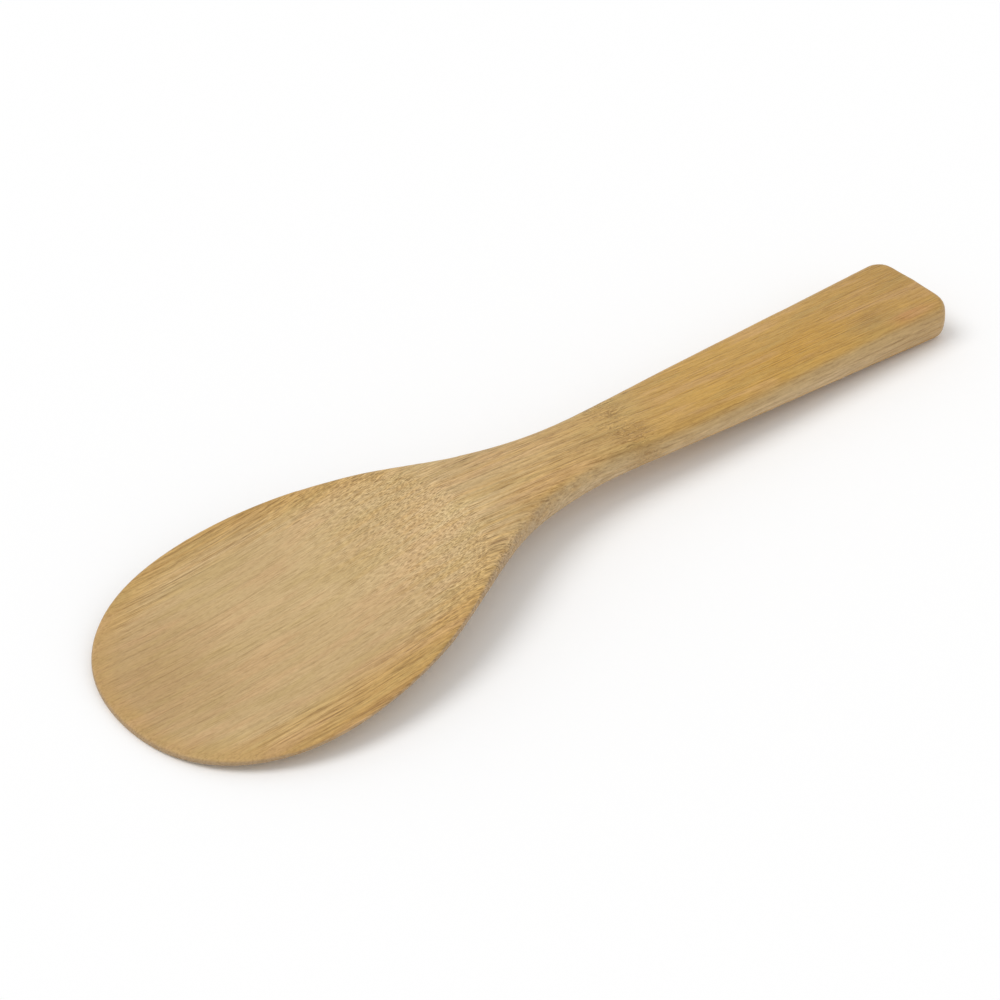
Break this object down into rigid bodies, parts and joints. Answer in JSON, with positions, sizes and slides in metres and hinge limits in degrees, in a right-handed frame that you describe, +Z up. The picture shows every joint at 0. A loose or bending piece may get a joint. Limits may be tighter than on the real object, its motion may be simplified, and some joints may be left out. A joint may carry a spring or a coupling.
{
  "type": "rice paddle",
  "caption": "Bamboo rice paddle: broad shallow dished blade on an arched neck, with a flat tapering handle, for scooping and serving rice.",
  "frame": {"origin": "on the table that the paddle lies on, under the middle of its length and width", "axes": "+X along the paddle from the blade to the handle, +Y across it, +Z up out of the dish"},
  "size_m": [0.228, 0.0698, 0.0155],
  "materials": {
    "bamboo": "sanded, satin"
  },
  "bodies": {
    "root": {"paddle": "bamboo"}
  },
  "joints": []
}
